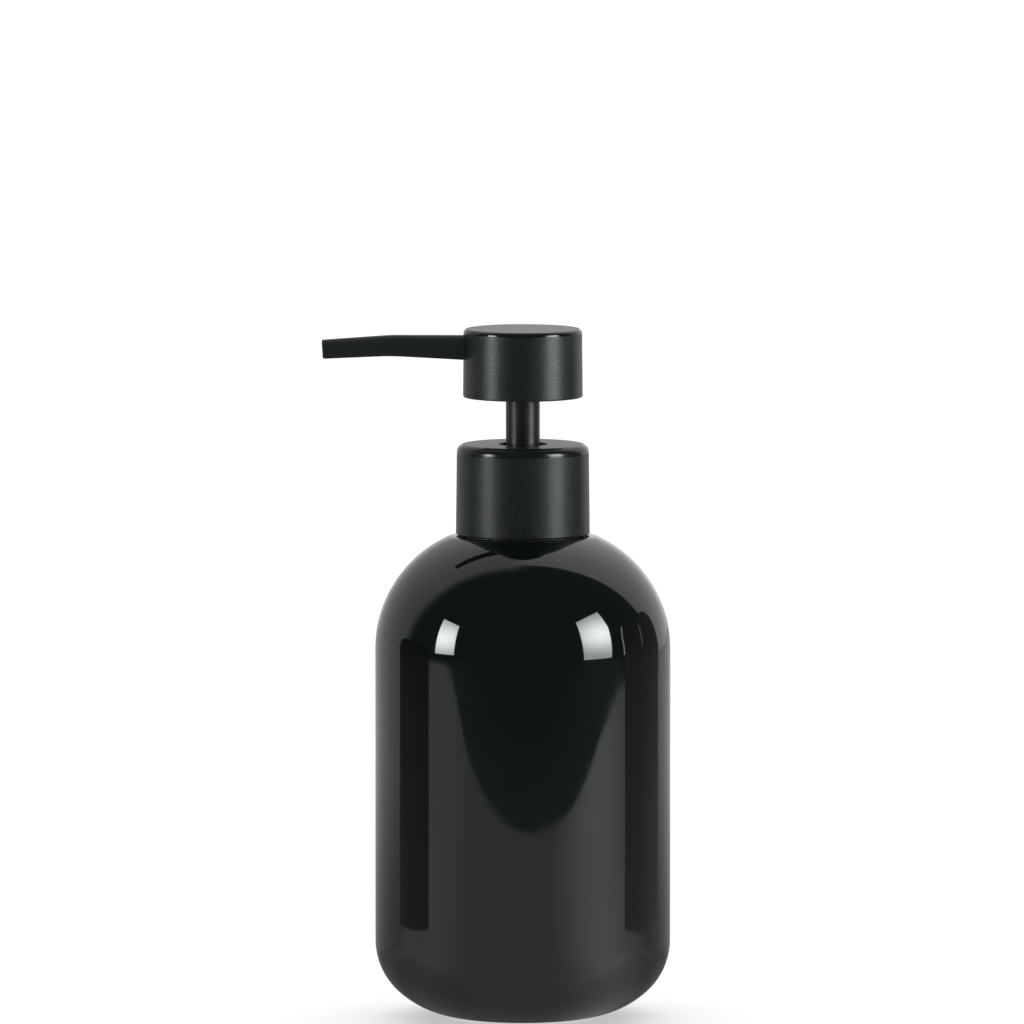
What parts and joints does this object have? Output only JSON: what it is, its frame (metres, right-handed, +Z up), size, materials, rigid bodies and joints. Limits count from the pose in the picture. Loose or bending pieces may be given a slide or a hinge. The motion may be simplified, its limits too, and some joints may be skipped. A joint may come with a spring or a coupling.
{
  "type": "soap pump dispenser",
  "caption": "Gloss black ceramic bottle with rounded shoulders and a screw-on satin black pump; pressing the round head sends liquid soap out of the slim side spout.",
  "frame": {"origin": "centre of the base pad on the surface the dispenser stands on, on the pump axis", "axes": "+Z up along the pump axis; the spout points toward -X"},
  "size_m": [0.0885, 0.075, 0.1757],
  "materials": {
    "glaze_black": "gloss glaze",
    "satin_black": "satin, fine moulded grain",
    "black_plastic": "as moulded",
    "natural_plastic": "natural polypropylene",
    "clear_tube": "translucent polyethylene",
    "seal_plastic": "soft polyethylene",
    "gasket_foam": "foamed",
    "pad_foam": "matt foam",
    "spring_steel": "drawn wire",
    "ball_steel": "polished"
  },
  "bodies": {
    "bottle": {"bottle": "glaze_black", "base_pad": "pad_foam", "neck_insert": "natural_plastic"},
    "gasket": {"neck_gasket": "gasket_foam"},
    "pump_core": {"pump_housing": "natural_plastic", "chaplet": "black_plastic", "dip_tube": "clear_tube", "ball_cage": "natural_plastic", "return_spring": "spring_steel"},
    "collar": {"threaded_cap": "black_plastic", "collar_shell": "satin_black"},
    "piston": {"piston_seal": "seal_plastic", "piston_core": "natural_plastic"},
    "plunger": {"pump_stem": "natural_plastic", "stem_sleeve": "satin_black", "head_shell": "satin_black", "head_core": "black_plastic", "spout_shell": "satin_black", "spout_tube": "black_plastic"},
    "inlet_ball_body": {"inlet_ball": "ball_steel"},
    "outlet_ball_body": {"outlet_ball": "ball_steel"}
  },
  "joints": [
    {"name": "pump_lift", "type": "slide", "parent": "bottle", "child": "gasket", "axis": [0, 0, 1], "range_m": [0, 0.14]},
    {"name": "thread_rise", "type": "slide", "parent": "gasket", "child": "pump_core", "axis": [0, 0, 1], "range_m": [0, 0.00636]},
    {"name": "collar_turn", "type": "hinge", "parent": "pump_core", "child": "collar", "pos_m": [0, 0, 0.135], "axis": [0, 0, 1], "range_deg": [0, 540]},
    {"name": "pump_press", "type": "slide", "parent": "pump_core", "child": "piston", "axis": [0, 0, 1], "range_m": [-0.011, 0], "stiffness_N_per_m": 800, "springref_m": 0.01, "deforming": ["return_spring"]},
    {"name": "spout_swivel", "type": "hinge", "parent": "piston", "child": "plunger", "pos_m": [0, 0, 0.15], "axis": [0, 0, 1], "continuous": true},
    {"name": "inlet_ball_lift", "type": "slide", "parent": "pump_core", "child": "inlet_ball_body", "axis": [0, 0, 1], "range_m": [0, 0.0015]},
    {"name": "outlet_ball_lift", "type": "slide", "parent": "plunger", "child": "outlet_ball_body", "axis": [0, 0, 1], "range_m": [0, 0.0012]}
  ],
  "couplings": [
    {"joint": "thread_rise", "follows": "collar_turn", "m_per_rad": 0.00067376}
  ]
}
